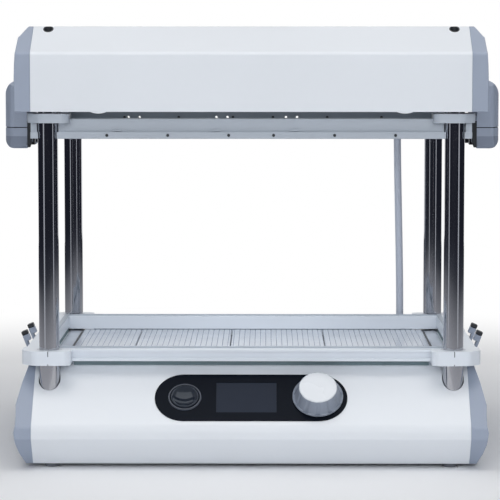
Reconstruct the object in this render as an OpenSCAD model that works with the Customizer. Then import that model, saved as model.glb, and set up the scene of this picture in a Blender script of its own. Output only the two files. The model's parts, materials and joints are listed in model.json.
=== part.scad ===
// Desktop vacuum forming machine, millimetres.
// +X is the user's right, +Y is away from the user, +Z is up.
// The origin is the middle of the footprint, on the table.

/* [Posts] */
// Diameter of each guide post
post_d = 17.5; // [15:0.5:18]
// Distance between post axes, side to side
post_span_x = 350; // [330:5:400]
// Distance between post axes, front to back
post_span_y = 270; // [255:5:310]
// Radial running clearance of a bushing on its post
bush_gap = 0.06; // [0.03:0.01:0.1]
// Outer diameter of a bushing
bush_d = 22; // [21:0.5:24]

/* [Base] */
// Height of the rubber feet
foot_h = 3.4; // [2:0.2:6]
// Diameter of a rubber foot
foot_d = 14; // [10:1:20]
// Height of the deck above the table
deck_z = 85; // [84:0.2:90]
// Height of the nose crease, where the control slope starts
nose_z = 37.6; // [36:0.2:42]
// Height of the foot of the upright front band
band_z = 27.5; // [20:0.5:32]
// Inward lean of the lowest front facet
undercut = 19; // [10:1:24]
// Horizontal run of the control slope
slope_run = 50; // [47:0.5:56]
// How far the deck edge lies behind the front post axes
deck_lead = 11; // [9:0.5:13]
// Base length behind the rear post axes
rear_margin = 27; // [27:1:40]
// Housing width beyond the post axes on each side
side_margin = 13; // [12:0.5:16]
// Wall thickness of the base and hood shells
shell_t = 2.5; // [2:0.25:3.5]
// Greatest thickness of a base side panel
panel_t = 15; // [14:0.5:20]
// Thickness of a base side panel at its top and bottom edges
panel_edge_t = 6; // [4:0.5:8]

/* [Hood] */
// Height of the hood's lower edge
hood_z = 306.4; // [300:0.2:360]
// Height of the upright front face of the hood
hood_face_h = 50; // [44:1:60]
// Height of the sloped edge of the hood
hood_slope_h = 22.6; // [18:0.2:26]
// Run of the sloped edge of the hood
hood_slope_run = 36.6; // [30:0.2:40]
// Hood length beyond the front and rear post axes
hood_margin = 21; // [20:0.5:26]
// Greatest thickness of a hood end cap
cap_t = 14; // [12:0.1:18]
// Number of ceramic heater elements
heater_count = 4; // [3:1:4]
// Length of one heater element
heater_l = 245; // [200:5:260]
// Width of one heater element
heater_w = 48; // [40:1:50]

/* [Frames] */
// Height of the lower frame's rails above the table
lower_z = 90; // [90:0.1:98]
// Height of the lower frame's rails
lower_h = 10.2; // [8:0.2:14]
// Height of the upper frame's rails
upper_h = 17; // [16:0.5:22]
// Gap between the upper frame's collars and the hood
park_gap = 1.9; // [1:0.1:4]
// Height of an upper frame collar
collar_h = 7.9; // [7:0.1:10]
// Part of an upper collar that stands above its rail
collar_step = 4.5; // [4:0.1:6.5]
// Drop of the lower collars below their rails
collar_drop = 2.2; // [1:0.1:3]
// Reach of the front and rear rails outside the post axes
rail_out_y = 2; // [0:0.5:6]
// Width of the front and rear rails
rail_w_y = 16; // [14:0.5:20]
// Reach of the lower frame's side rails outside the post axes
rail_out_x = 21; // [18:0.5:24]
// Width of the lower frame's side rails
rail_w_x = 18; // [16:0.5:20]
// Reach of the upper frame's side rails outside the post axes
upper_out_x = 17; // [15:0.5:20]
// Reach of a lower collar outboard of its post axis
collar_out = 23.4; // [20:0.2:25]
// Reach of an upper collar outboard of its post axis
upper_collar_out = 17.2; // [15:0.2:20]
// Reach of a collar inboard of its post axis
collar_in = 19.2; // [16:0.2:22]
// Reach of a collar in front of its post axis
collar_front = 17; // [15:0.5:19]
// Thickness of the sheet seal on the lower frame
lower_seal_t = 1.2; // [0.8:0.1:2]
// Thickness of the sheet seal on the upper frame
upper_seal_t = 0.8; // [0.6:0.1:1.5]
// Gap left between the two seals when the frames are closed
closed_gap = 0.3; // [0.2:0.1:1]

/* [Platen] */
// Height of the platen surface
platen_z = 87; // [86.4:0.1:89]
// Gap between the platen and the front and rear rails
platen_gap_y = 2; // [1:0.5:5]
// Gap between the platen and the side rails
platen_gap_x = 14; // [10:0.5:20]
// Depth of the vacuum chamber under the deck
plenum_h = 18.7; // [14:0.1:20]
// Place of the first air slot, from the middle
slot_first = -107; // [-115:1:-100]
// Width of an air slot across the platen
slot_w = 0.9; // [0.6:0.1:2]
// Distance between air slots
slot_pitch = 87; // [60:1:90]

/* [Control panel] */
// Length of the control panel
pill_l = 166; // [160:1:190]
// Width of the control panel along the slope
pill_w = 50.4; // [48:0.4:51]
// Height of the control panel above the slope
pill_t = 0.8; // [0.5:0.1:2]
// Width of the display
lcd_w = 52; // [40:1:54]
// Height of the display
lcd_h = 32.6; // [28:0.2:34]
// Distance of the display left of the middle
lcd_left = 4; // [0:0.5:6]
// Distance of the push button from the panel's left end
button_end = 25.9; // [24:0.1:30]
// Outer diameter of the push button's ring
button_ring_d = 29; // [27:0.5:31]
// Diameter of the push button's cap
button_d = 25; // [21:0.5:26]
// Travel of the push button
button_travel = 2; // [1:0.1:2.5]
// Distance of the dial from the panel's right end
dial_end = 25.5; // [24:0.1:30]
// Diameter of the dial's flange
dial_flange_d = 43.5; // [40:0.5:46]
// Diameter of the dial's top
dial_top_d = 33.4; // [28:0.1:36]
// Height of the dial above its flange
dial_h = 12; // [10:0.1:16]
// Number of grip flutes round the dial
dial_flutes = 12; // [8:1:16]
// Travel of the dial when it is pressed
dial_travel = 0.6; // [0.4:0.1:1]

/* [Handles and latches] */
// Length of a lifting handle, front to back
handle_l = 96; // [80:1:120]
// Height of a lifting handle
handle_h = 61.7; // [56:0.1:68]
// Drop of the handles below the upper frame's rails
handle_drop = 12.7; // [11:0.1:16]
// Reach of a handle beyond the post axes
handle_out = 47; // [46:0.5:52]
// Wall thickness of a handle
handle_t = 3.5; // [3:0.5:5]
// Diameter of a latch pin
latch_pin_d = 3; // [2.5:0.5:4]
// Angle that a latch leans out at rest
latch_lean = 22; // [22:1:30]
// Width of a latch hook
hook_w = 9; // [7:0.5:10]
// Distance between the two hooks of a latch
hook_span = 56; // [50:1:58]

/* [Lead] */
// Diameter of the lead between base and hood
lead_d = 7; // [6:0.5:8]

/* [Hidden] */

// Number of sides on large and small round parts
$fn = 64;
small_fn = 32;
// Overshoot of a cut past the face that it opens
cut = 1;

white = [0.90, 0.91, 0.94];
grey = [0.57, 0.61, 0.68];
dark = [0.09, 0.11, 0.14];
steel = [0.72, 0.73, 0.75];

// Plan of the base
base_depth = slope_run - deck_lead + post_span_y + rear_margin;
nose_y = -base_depth / 2;
rear_y = base_depth / 2;
deck_y = nose_y + slope_run;
front_post_y = deck_y - deck_lead;
rear_post_y = front_post_y + post_span_y;
mid_y = (front_post_y + rear_post_y) / 2;
post_x = post_span_x / 2;
side_x = post_x + side_margin;
button_x = pill_l / 2 - button_end;
dial_x = pill_l / 2 - dial_end;
slope_angle = atan((deck_z - nose_z) / slope_run);
slope_length = norm([slope_run, deck_z - nose_z]);
tray_t = 2;
bottom_lip = 24;
tray_z = foot_h + shell_t;
tray_top = tray_z + tray_t;

// Levels of the frames
lower_top = lower_z + lower_h;
upper_collar_top = hood_z - park_gap;
upper_collar_z = upper_collar_top - collar_h;
upper_top = upper_collar_top - collar_step;
upper_z = upper_top - upper_h;
frame_travel = upper_z - upper_seal_t - lower_top - lower_seal_t - closed_gap;
flange_h = 5.6;
flange_out = 3;

// Plan of the frames
rail_x1 = post_x + rail_out_x;
rail_x0 = rail_x1 - rail_w_x;
upper_x1 = post_x + upper_out_x;
rail_y_out = rail_out_y + post_span_y / 2;
rail_y_in = rail_y_out - rail_w_y;
seal_w = 4;
seal_inset = 0.8;
post_clear = 0.7;
split_w = 0.6;

// Rivets along the upper frame, and the lugs between them
rivet_x = 19.3;
rivet_pitch = 52.3;
rivet_d = 2.6;
rivet_h = 0.5;
rivet_drop = 2.8;
lug_places = [-115, -30, 37.2];
lug_w = 7.4;
lug_z = upper_z + flange_h + 1;
lug_hole_pitch = 10.7;
lug_hole_z = upper_z + 10;

// Plan of the platen and of what lies under it
platen_x = rail_x0 - platen_gap_x;
platen_y = rail_y_in - platen_gap_y;
deck_cut_inset = 4;
deck_cut_x = platen_x - deck_cut_inset;
deck_cut_y = platen_y - deck_cut_inset;

// Hood levels and plan
hood_front_y = front_post_y - hood_margin;
hood_rear_y = rear_post_y + hood_margin;
hood_top = hood_z + hood_face_h + hood_slope_h;
chassis_z = hood_z + 2.6;
chassis_t = 3;
chassis_top = chassis_z + chassis_t;
chassis_gap = 0.2;
reflector_h = 28;
reflector_t = 1.5;
reflector_x = post_x - 13;
reflector_y = post_span_y / 2 - 15;
reflector_top = chassis_top + reflector_h;
insulation_t = 12;
heater_z = chassis_top + 10;
heater_t = 8;
heater_pitch = 2 * (reflector_y - reflector_t - 2) / heater_count;

// Hood fixings behind the front posts and in front of the rear posts
fixing_inset = 12;
fixing_y = post_span_y / 2 - fixing_inset;
fixing_d = 9;
fixing_cup_t = 2;
fixing_z = hood_top - 13;
well_t = 0.75;
well_gap = 0.05;
hood_screw_d = 4;
hood_screw_l = 16;
hood_screw_head_d = 7;
hood_screw_head_h = 3;

// Screws through the post ends
post_screw_d = 8;
post_screw_l = 24;
post_screw_head_d = 13;
post_screw_head_h = 8;

// Control panel, in the slope's own frame
pill_y = slope_length / 2 - 2;
plug_inset = 3;
plug_t = shell_t + 1;
board_z = -14;
board_t = 1.6;
board_inset = 5;

// Latches, in the plane across the machine
latch_x = rail_x1 + 4.4;
latch_z = lower_z - 1.9;
latch_h = 17;
bracket_t = 1.6;
ear_gap = 0.3;
ear_t = 2.8;
lip_x0 = rail_x1 + 0.2;
lip_x1 = rail_x1 + 4.6;
lip_t = 2.6;
keeper_t = 1.6;
keeper_drop = 9.9;
keeper_w = 7;
keeper_gap = 1;

// Handles
handle_gap = 0.7;
handle_x0 = side_x + cap_t + handle_gap;
handle_x1 = post_x + handle_out;
handle_low_x = upper_x1 + 9.4;
handle_z = upper_z - handle_drop;
handle_step_z = hood_z - 3.4;
handle_r = 15;
pocket_top = handle_step_z - 3;

// Pump under the vacuum chamber
pump_x = -70;
pump_y = 30;
pump_motor_r = 32;
pump_motor_h = 22;
pump_r = 52;
pump_wall = 2.5;
hose_h = 12;
plenum_z = deck_z - shell_t - plenum_h;
pump_top = plenum_z - hose_h;
pump_z = tray_top + pump_motor_h;
intake_r = 15;
impeller_shaft_d = 6;
impeller_gap = 2;
impeller_t = 1.6;
blade_h = 8;
blade_lean = 18;
hub_r = 8;

// Power supply behind the pump
supply_x = 30;
supply_y = 60;
supply_l = 110;
supply_w = 60;
supply_h = 35;
supply_t = 1.5;
vent_pitch = 11;
vent_w = 4;

// Rear panel
rear_panel_l = 140;
rear_panel_h = 52;
rear_panel_z = 16;
inlet_x = 35;
inlet_w = 27.5;
inlet_h = 20;
switch_x = -30;
switch_w = 15;
switch_h = 21;
rear_mid_z = rear_panel_z + rear_panel_h / 2;

// Lead route between the base gland and the hood gland
gland_d = 12;
gland_h = 7;
lead_y = rear_post_y + 11;
lead_foot_x = post_x - 31.1;
lead_head_x = post_x - 34.5;
lead_z0 = deck_z + gland_h;
lead_z1 = chassis_z - gland_h;
lead_steps = 13;
lead_sides = 12;

// Plane geometry helpers
function unit(v) = v / norm(v);
function corner_arc(a, b, c, r, n) =
    let (
        u = unit(a - b),
        v = unit(c - b),
        half = acos(u * v) / 2,
        centre = b + unit(u + v) * r / sin(half),
        from = b + u * r / tan(half) - centre,
        to = b + v * r / tan(half) - centre,
        turn = atan2(from[0] * to[1] - from[1] * to[0], from * to)
    )
    [for (i = [0:n])
        let (t = turn * i / n)
        centre + [from[0] * cos(t) - from[1] * sin(t), from[0] * sin(t) + from[1] * cos(t)]];
function flat(p) = [p[0], p[1]];
function before(pts, i) = pts[(i + len(pts) - 1) % len(pts)];
function after(pts, i) = pts[(i + 1) % len(pts)];
// Outline from points [x, y, corner radius]
function rounded(pts, n = 5) = [
    for (i = [0:len(pts) - 1])
        each (pts[i][2] > 0
            ? corner_arc(flat(before(pts, i)), flat(pts[i]), flat(after(pts, i)), pts[i][2], n)
            : [flat(pts[i])])
];
// The same outline with every side moved inwards by d
function inset(pts, d) = [
    for (i = [0:len(pts) - 1])
        let (
            u = unit(flat(before(pts, i)) - flat(pts[i])),
            v = unit(flat(after(pts, i)) - flat(pts[i])),
            p = flat(pts[i]) + unit(u + v) * d / sin(acos(u * v) / 2)
        )
        [p[0], p[1], max(pts[i][2] - d, 0)]
];

// Side views of the housings; the nose radius differs
function base_outline(nose_r) = [
    [nose_y + undercut, foot_h, 2], [rear_y, foot_h, 3], [rear_y, deck_z, 5],
    [deck_y, deck_z, 4], [nose_y, nose_z, nose_r], [nose_y, band_z, 3]
];
base_side = base_outline(12);
panel_side = base_outline(4);
hood_side = [
    [hood_front_y, hood_z, 0], [hood_rear_y, hood_z, 0],
    [hood_rear_y, hood_z + hood_face_h, 4], [hood_rear_y - hood_slope_run, hood_top, 4],
    [hood_front_y + hood_slope_run, hood_top, 4], [hood_front_y, hood_z + hood_face_h, 4]
];

// Front views of the side panels and end caps, right-hand side
panel_front = [
    [side_x, foot_h], [side_x + panel_edge_t, foot_h],
    [side_x + panel_t - 4, foot_h + 10], [side_x + panel_t - 1.3, foot_h + 19],
    [side_x + panel_t, band_z + 5.5], [side_x + panel_t - 1.2, nose_z + 1],
    [side_x + panel_t - 1.2, nose_z + 8.5], [side_x + panel_t - 0.4, nose_z + 17],
    [side_x + panel_t - 2.3, nose_z + 25], [side_x + panel_t - 4.5, nose_z + 34],
    [side_x + panel_edge_t, deck_z], [side_x, deck_z]
];
cap_front = [
    [side_x, hood_z], [side_x + cap_t, hood_z], [side_x + cap_t, hood_z + 29],
    [side_x + cap_t - 0.4, hood_z + 41], [side_x + cap_t - 1.3, hood_top - 18],
    [side_x + cap_t - 1.8, hood_top - 9.4], [side_x + cap_t - 3.4, hood_top - 8],
    [side_x + 4.5, hood_top], [side_x, hood_top]
];

// A y-z outline carried along X
module along_x(x0, x1) {
    translate([x0, 0, 0]) rotate([90, 0, 90]) linear_extrude(x1 - x0) children();
}
// An x-z outline carried along Y
module along_y(y0, y1) {
    translate([0, y1, 0]) rotate([90, 0, 0]) linear_extrude(y1 - y0) children();
}
module on_slope(x = 0, y = 0, z = 0) {
    translate([0, nose_y, nose_z]) rotate([slope_angle, 0, 0]) translate([x, y, z]) children();
}
// Children are drawn for the front right post, outboard +X and forward -Y
module at_posts() {
    for (sx = [-1, 1], sy = [-1, 1])
        translate([sx * post_x, mid_y + sy * post_span_y / 2, 0])
            mirror([sx < 0 ? 1 : 0, 0, 0]) mirror([0, sy > 0 ? 1 : 0, 0]) children();
}
module post_holes(r, z0, z1) {
    at_posts() translate([0, 0, z0]) cylinder(r = r, h = z1 - z0);
}
module box(x0, x1, y0, y1, z0, z1) {
    translate([x0, y0, z0]) cube([x1 - x0, y1 - y0, z1 - z0]);
}
module centred(x, y, r = 0) {
    square([x - 2 * r, y], center = true);
    if (r > 0) {
        square([x, y - 2 * r], center = true);
        for (sx = [-1, 1], sy = [-1, 1])
            translate([sx * (x / 2 - r), sy * (y / 2 - r)]) circle(r);
    }
}
module pill(l, w) {
    square([l - w, w], center = true);
    for (s = [-1, 1]) translate([s * (l - w) / 2, 0]) circle(d = w);
}
module tube(r0, r1, z0, z1) {
    translate([0, 0, z0]) difference() {
        cylinder(r = r1, h = z1 - z0);
        translate([0, 0, -cut]) cylinder(r = r0, h = z1 - z0 + 2 * cut);
    }
}

// Base housing
module base_shell() {
    color(white) difference() {
        along_x(-side_x, side_x) polygon(rounded(base_side));
        along_x(-side_x - cut, side_x + cut) polygon(rounded(inset(base_side, shell_t)));
        box(-side_x - cut, side_x + cut, nose_y + undercut + bottom_lip, rear_y - bottom_lip,
            0, tray_z + cut);
        box(-deck_cut_x, deck_cut_x, mid_y - deck_cut_y, mid_y + deck_cut_y,
            deck_z - shell_t - cut, deck_z + cut);
        post_holes(post_d / 2 + post_clear, nose_z, deck_z + cut);
        on_slope(0, pill_y, -shell_t - cut) linear_extrude(shell_t + 2 * cut)
            pill(pill_l - 2 * plug_inset, pill_w - 2 * plug_inset);
        box(-rear_panel_l / 2, rear_panel_l / 2, rear_y - shell_t - cut, rear_y + cut,
            rear_panel_z, rear_panel_z + rear_panel_h);
    }
}
module side_panel() {
    color(grey) difference() {
        intersection() {
            along_y(nose_y - cut, rear_y + cut) polygon(panel_front);
            along_x(side_x, side_x + panel_t + cut) polygon(rounded(panel_side));
        }
        along_x(side_x - cut, side_x + panel_edge_t - 3) polygon(rounded(inset(panel_side, 6)));
    }
}
module side_panel_right() side_panel();
module side_panel_left() mirror([1, 0, 0]) side_panel();
module base_tray() {
    color(steel) difference() {
        box(-side_x + 0.3, side_x - 0.3, nose_y + undercut + 3, rear_y - shell_t - 2,
            tray_z, tray_top);
        at_posts() translate([0, 0, tray_z - cut]) cylinder(d = post_screw_d, h = tray_t + 2 * cut);
    }
}
module feet() {
    color(dark) for (sx = [-1, 1], y = [nose_y + undercut + foot_d / 2 + 2, rear_y - foot_d / 2 - 9])
        translate([sx * (post_x - 3), y, 0]) {
            cylinder(d1 = foot_d - 2, d2 = foot_d, h = foot_h);
        }
}
module rear_panel() {
    color(dark) difference() {
        box(-rear_panel_l / 2 + 0.1, rear_panel_l / 2 - 0.1, rear_y - shell_t, rear_y - 0.5,
            rear_panel_z + 0.1, rear_panel_z + rear_panel_h - 0.1);
        box(inlet_x - inlet_w / 2, inlet_x + inlet_w / 2, rear_y - shell_t - cut, rear_y,
            rear_mid_z - inlet_h / 2, rear_mid_z + inlet_h / 2);
        box(switch_x - switch_w / 2, switch_x + switch_w / 2, rear_y - shell_t - cut, rear_y,
            rear_mid_z - switch_h / 2, rear_mid_z + switch_h / 2);
        for (i = [0:5]) box(-8 + 3.4 * i, -6.4 + 3.4 * i, rear_y - shell_t - cut, rear_y,
            rear_mid_z - 16, rear_mid_z + 16);
    }
}

// Posts
module post(z_foot = tray_top) {
    color(steel) difference() {
        translate([0, 0, z_foot]) cylinder(d = post_d, h = chassis_z - z_foot);
        translate([0, 0, z_foot - cut]) cylinder(d = post_screw_d, h = post_screw_l + cut);
        translate([0, 0, chassis_z - post_screw_l]) cylinder(d = post_screw_d, h = post_screw_l + cut);
    }
}
module post_front_left() translate([-post_x, front_post_y, 0]) post();
module post_front_right() translate([post_x, front_post_y, 0]) post();
module post_rear_left() translate([-post_x, rear_post_y, 0]) post();
module post_rear_right() translate([post_x, rear_post_y, 0]) post();
module post_screws() {
    color(steel) at_posts() {
        translate([0, 0, tray_z]) cylinder(d = post_screw_d, h = tray_t + post_screw_l - 2);
        translate([0, 0, chassis_z - post_screw_l + 2])
            cylinder(d = post_screw_d, h = post_screw_l - 2 + chassis_t);
        difference() {
            translate([0, 0, chassis_top]) cylinder(d = post_screw_head_d, h = post_screw_head_h);
            translate([0, 0, chassis_top + 4]) cylinder(d = 7, h = 6, $fn = 6);
        }
    }
}

// Platen and vacuum chamber
module platen() {
    color(white) difference() {
        translate([0, mid_y, deck_z]) linear_extrude(platen_z - deck_z)
            centred(2 * platen_x, 2 * platen_y, 2);
        for (x = [slot_first:slot_pitch:platen_x - slot_pitch / 2]) box(x - slot_w / 2, x + slot_w / 2,
            mid_y - deck_cut_y + 4, mid_y + deck_cut_y - 4, deck_z - cut, platen_z + cut);
        collar_clearance(lower_z - collar_drop - 0.4);
    }
}
// Room for the lower frame's collars, down to height z
module collar_clearance(z) {
    at_posts() box(-collar_in - 1, collar_out + 1, -collar_front - 1, collar_front + 1,
        z, lower_top);
}
module platen_surround() {
    color(white) for (s = [-1, 1]) difference() {
        box(s > 0 ? platen_x + 1.6 : -rail_x0 + 0.8, s > 0 ? rail_x0 - 0.8 : -platen_x - 1.6,
            mid_y - platen_y, mid_y + platen_y, deck_z, platen_z - 1);
        post_holes(bush_d / 2 + 5, deck_z - cut, platen_z + cut);
        collar_clearance(lower_z - collar_drop - 0.4);
    }
}
module deck_seal() {
    color([0.20, 0.29, 0.32]) difference() {
        box(-side_x + 2, side_x - 2, deck_y + 0.5, mid_y + rail_y_out - 1, deck_z, lower_z - 0.1);
        box(-rail_x0 - 1, rail_x0 + 1, mid_y - rail_y_in - 0.5, mid_y + rail_y_in + 0.5,
            deck_z - cut, lower_z + cut);
        collar_clearance(deck_z - cut);
    }
}
module vacuum_plenum() {
    color(steel) difference() {
        box(-deck_cut_x - 5, deck_cut_x + 5, mid_y - deck_cut_y - 5, mid_y + deck_cut_y + 5,
            plenum_z, deck_z - shell_t);
        box(-deck_cut_x, deck_cut_x, mid_y - deck_cut_y, mid_y + deck_cut_y,
            plenum_z + 2, deck_z);
        translate([pump_x, pump_y, plenum_z - cut]) cylinder(r = intake_r, h = 4);
    }
}
module vacuum_hose() {
    color(dark) translate([pump_x, pump_y, pump_top]) difference() {
        union() {
            cylinder(r = intake_r + 2, h = hose_h);
            for (i = [0:2]) translate([0, 0, 2.2 + 3.2 * i]) cylinder(r = intake_r + 3.5, h = 1.4);
        }
        translate([0, 0, -cut]) cylinder(r = intake_r, h = hose_h + 2 * cut);
    }
}
module pump_housing() {
    color(dark) translate([pump_x, pump_y, 0]) difference() {
        union() {
            translate([0, 0, pump_z]) cylinder(r = pump_r, h = pump_top - pump_z);
            box(-pump_r, -pump_r + 24, 0, pump_r + 14, pump_z, pump_top);
        }
        translate([0, 0, pump_z + pump_wall])
            cylinder(r = pump_r - pump_wall, h = pump_top - pump_z - 2 * pump_wall);
        box(-pump_r + pump_wall, -pump_r + 24 - pump_wall, 0, pump_r + 14 + cut,
            pump_z + pump_wall, pump_top - pump_wall);
        translate([0, 0, pump_top - 2 * pump_wall]) cylinder(r = intake_r, h = 3 * pump_wall);
        translate([0, 0, pump_z - cut]) cylinder(r = impeller_shaft_d, h = pump_wall + 2 * cut);
    }
}
module pump_motor() {
    color(steel) translate([pump_x, pump_y, tray_top]) difference() {
        cylinder(r = pump_motor_r, h = pump_motor_h);
        translate([0, 0, pump_motor_h - 16]) cylinder(r = impeller_shaft_d / 2 + bush_gap, h = 16 + cut);
    }
}
module pump_impeller() {
    impeller_z = pump_z + pump_wall + impeller_gap;
    color(grey) translate([pump_x, pump_y, 0]) {
        translate([0, 0, pump_z - 14]) cylinder(d = impeller_shaft_d, h = 14 + pump_wall + impeller_gap);
        translate([0, 0, impeller_z]) cylinder(r = pump_r - 8, h = impeller_t);
        translate([0, 0, impeller_z]) cylinder(r = hub_r, h = blade_h);
        for (i = [0:7]) rotate([0, 0, 45 * i]) translate([0, 0, impeller_z]) rotate([0, 0, blade_lean])
            box(2 * hub_r - 2, pump_r - 9, -impeller_t / 2, impeller_t / 2, 0, blade_h);
    }
}
module power_supply() {
    x1 = supply_x + supply_l;
    y1 = supply_y + supply_w;
    color(steel) difference() {
        box(supply_x, x1, supply_y, y1, tray_top, tray_top + supply_h);
        for (i = [0:8]) translate([supply_x + 10 + vent_pitch * i, 0, 0])
            box(0, vent_w, supply_y - cut, y1 + cut, tray_top + supply_h / 3, tray_top + supply_h * 0.8);
        box(supply_x + supply_t, x1 - supply_t, supply_y + supply_t, y1 - supply_t,
            tray_top + supply_t, tray_top + supply_h - supply_t);
    }
}

// Control panel
module control_board() {
    color([0.10, 0.35, 0.22]) on_slope(0, pill_y, board_z - board_t)
        linear_extrude(board_t) centred(pill_l - 12, pill_w - 2 * board_inset, 3);
}
module control_bezel() {
    color(dark) on_slope(0, pill_y) difference() {
        union() {
            linear_extrude(pill_t) pill(pill_l, pill_w);
            translate([0, 0, -plug_t]) linear_extrude(plug_t)
                pill(pill_l - 2 * plug_inset - 0.2, pill_w - 2 * plug_inset - 0.2);
            for (sx = [-1, 1], sy = [-1, 1])
                translate([sx * (lcd_w / 2 + 7), sy * (pill_w / 2 - board_inset - 3.5), board_z])
                    cylinder(r = 2, h = -board_z, $fn = small_fn);
        }
        translate([-lcd_left, 0, -plug_t - cut]) linear_extrude(plug_t + pill_t + 2 * cut)
            centred(lcd_w, lcd_h);
        translate([-button_x, 0, -plug_t - cut]) cylinder(d = button_d + 0.4, h = plug_t + 4);
        translate([dial_x, 0, -plug_t - cut]) cylinder(r = 4.5, h = plug_t + 4);
    }
}
module lcd_screen() {
    color([0.18, 0.21, 0.26]) on_slope(-lcd_left, pill_y, -plug_t) linear_extrude(plug_t + pill_t - 0.4)
        centred(lcd_w, lcd_h);
}
module button_ring() {
    color(dark) on_slope(-button_x, pill_y) rotate_extrude()
        polygon([[button_d / 2 + 0.2, pill_t], [button_ring_d / 2, pill_t],
            [button_ring_d / 2 - 0.5, pill_t + 1.4], [button_d / 2 + 0.2, pill_t + 1.4]]);
}
module button_switch() {
    color(dark) on_slope(-button_x, pill_y) difference() {
        box(-7, 7, -7, 7, board_z, -6);
        translate([0, 0, board_z + 2]) cylinder(r = 4 + bush_gap, h = 20);
    }
}
module vacuum_button() {
    color(dark) on_slope(-button_x, pill_y) {
        rotate_extrude() polygon([
            [0, -1.5], [button_d / 2, -1.5], [button_d / 2, 1.8], [button_d / 2 - 1, 2.8],
            [button_d / 2 - 3, 2.8], [button_d / 2 - 5, 1.6], [0, 1]
        ]);
        translate([0, 0, board_z + 2 + button_travel + 0.2])
            cylinder(r = 4, h = -board_z - 3.5 - button_travel - 0.2);
    }
}
module encoder_housing() {
    color(steel) on_slope(dial_x, pill_y) difference() {
        union() {
            box(-7, 7, -7, 7, board_z, -plug_t);
            translate([0, 0, -plug_t]) cylinder(r = 4.5, h = plug_t + pill_t);
        }
        translate([0, 0, board_z + 2]) cylinder(r = 5 + bush_gap, h = 6);
        translate([0, 0, board_z + 1]) cylinder(r = 3 + bush_gap, h = 30);
    }
}
module encoder_rotor() {
    color(grey) on_slope(dial_x, pill_y) tube(3 + bush_gap, 5, board_z + 2.1, board_z + 7.9);
}
module dial_shaft() {
    color(steel) on_slope(dial_x, pill_y) translate([0, 0, board_z + 1 + dial_travel + 0.2])
        cylinder(r = 3, h = 22);
}
module dial_knob() {
    seat_z = pill_t + dial_travel + 0.4;
    root_r = dial_flange_d / 2 - 1.25;
    top_r = dial_top_d / 2;
    lean = atan((root_r - top_r) / dial_h);
    bore_top = board_z + 1 + dial_travel + 0.2 + 22;
    color(grey) on_slope(dial_x, pill_y) difference() {
        rotate_extrude() polygon([
            [0, seat_z], [dial_flange_d / 2, seat_z], [dial_flange_d / 2, seat_z + 1.2],
            [root_r, seat_z + 1.8], [top_r, seat_z + 1.8 + dial_h - 1.2], [0, seat_z + 1.8 + dial_h - 1.2]
        ]);
        for (i = [0:dial_flutes - 1]) rotate([0, 0, i * 360 / dial_flutes])
            translate([root_r + 2.7, 0, seat_z + 1.8]) rotate([0, -lean, 0])
                cylinder(r = 3.4, h = dial_h + 6, $fn = small_fn);
        translate([0, 0, seat_z - cut]) cylinder(r = 3, h = bore_top - seat_z + cut);
        difference() {
            translate([0, 0, seat_z - cut]) cylinder(r = top_r - 3, h = cut + 5);
            translate([0, 0, seat_z - 2 * cut]) cylinder(r = 5.5, h = 12);
        }
    }
}
module dial_cap() {
    seat_z = pill_t + dial_travel + 0.4 + 1.8 + dial_h - 1.2;
    top_r = dial_top_d / 2;
    color(white) on_slope(dial_x, pill_y) rotate_extrude() polygon([
        [0, seat_z], [top_r, seat_z], [top_r, seat_z + 0.5], [top_r - 0.7, seat_z + 1.2],
        [top_r - 2, seat_z + 1.2], [0, seat_z + 0.8]
    ]);
}

// Rear fittings
module power_inlet() {
    color(dark) difference() {
        box(inlet_x - inlet_w / 2, inlet_x + inlet_w / 2, rear_y - 22, rear_y - 0.2,
            rear_mid_z - inlet_h / 2, rear_mid_z + inlet_h / 2);
        translate([inlet_x, 0, rear_mid_z]) along_y(rear_y - 18, rear_y + cut)
            polygon([[-11.5, -7], [11.5, -7], [11.5, 3.5], [8, 7], [-8, 7], [-11.5, 3.5]]);
    }
    color(steel) for (p = [[-7, -1], [7, -1], [0, 2.5]])
        box(inlet_x + p[0] - 1, inlet_x + p[0] + 1, rear_y - 18, rear_y - 4,
            rear_mid_z + p[1] - 2, rear_mid_z + p[1] + 2);
}
module switch_frame() {
    color(dark) difference() {
        box(switch_x - switch_w / 2, switch_x + switch_w / 2, rear_y - 18, rear_y - 0.2,
            rear_mid_z - switch_h / 2, rear_mid_z + switch_h / 2);
        box(switch_x - switch_w / 2 + 2, switch_x + switch_w / 2 - 2, rear_y - 14, rear_y + cut,
            rear_mid_z - switch_h / 2 + 2, rear_mid_z + switch_h / 2 - 2);
        translate([switch_x - switch_w / 2 - cut, rear_y - 5, rear_mid_z]) rotate([0, 90, 0])
            cylinder(r = 1.5 + bush_gap, h = switch_w + 2 * cut, $fn = small_fn);
    }
}
module power_rocker() {
    color(dark) translate([switch_x, rear_y - 5, rear_mid_z]) {
        along_x(-switch_w / 2 + 2.3, switch_w / 2 - 2.3)
            polygon([[-3, -3], [1.2, -7.5], [3.2, -7.5], [2.4, 0], [4.4, 7.5], [1.6, 7.5], [-3, 3]]);
        translate([-switch_w / 2 + 0.4, 0, 0]) rotate([0, 90, 0])
            cylinder(r = 1.5, h = switch_w - 0.8, $fn = small_fn);
    }
}
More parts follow.
